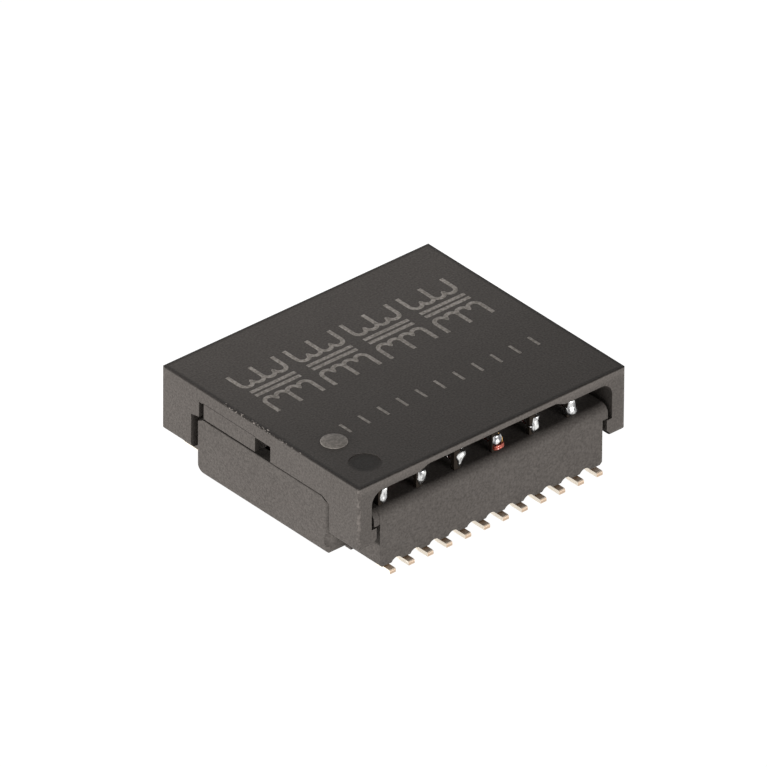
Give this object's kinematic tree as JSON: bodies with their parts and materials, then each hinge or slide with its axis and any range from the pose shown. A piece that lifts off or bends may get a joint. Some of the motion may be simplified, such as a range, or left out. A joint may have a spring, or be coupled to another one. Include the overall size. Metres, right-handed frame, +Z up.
{
  "type": "surface-mount transformer module",
  "caption": "Low black moulded transformer module with a clip-on cover over wound toroids and two rows of short gull-wing leads for surface mounting.",
  "frame": {"origin": "middle of the footprint, at the undersides of the lead feet, where the part stands on its board", "axes": "+X runs along the lead rows from the pin-one end, +Y across them away from the pin-one row, +Z up through the cover"},
  "size_m": [0.018, 0.016, 0.0057],
  "materials": {
    "moulded_plastic": "fine matte texture, as moulded",
    "tinned_lead": "tin plating, satin",
    "solder": "bright, uneven, as it set",
    "ferrite": "sintered, matte",
    "enamelled_wire": "clear red enamel over copper",
    "silicone": "smooth, slightly translucent"
  },
  "bodies": {
    "root": {"cover": "moulded_plastic", "header": "moulded_plastic", "silicone_bed": "silicone", "lead_01": "tinned_lead", "lead_02": "tinned_lead", "lead_03": "tinned_lead", "lead_04": "tinned_lead", "lead_05": "tinned_lead", "lead_06": "tinned_lead", "lead_07": "tinned_lead", "lead_08": "tinned_lead", "lead_09": "tinned_lead", "lead_10": "tinned_lead", "lead_11": "tinned_lead", "lead_12": "tinned_lead", "lead_13": "tinned_lead", "lead_14": "tinned_lead", "lead_15": "tinned_lead", "lead_16": "tinned_lead", "lead_17": "tinned_lead", "lead_18": "tinned_lead", "lead_19": "tinned_lead", "lead_20": "tinned_lead", "lead_21": "tinned_lead", "lead_22": "tinned_lead", "lead_23": "tinned_lead", "lead_24": "tinned_lead", "transformer_core_1": "ferrite", "transformer_core_2": "ferrite", "transformer_core_3": "ferrite", "transformer_core_4": "ferrite", "choke_core_1": "ferrite", "choke_core_2": "ferrite", "choke_core_3": "ferrite", "choke_core_4": "ferrite", "transformer_winding_1": "enamelled_wire", "transformer_winding_2": "enamelled_wire", "transformer_winding_3": "enamelled_wire", "transformer_winding_4": "enamelled_wire", "choke_winding_1": "enamelled_wire", "choke_winding_2": "enamelled_wire", "choke_winding_3": "enamelled_wire", "choke_winding_4": "enamelled_wire", "front_lead_outs": "enamelled_wire", "back_lead_outs": "enamelled_wire", "link_wires": "enamelled_wire", "front_solder_joints": "solder", "back_solder_joints": "solder"}
  },
  "joints": []
}
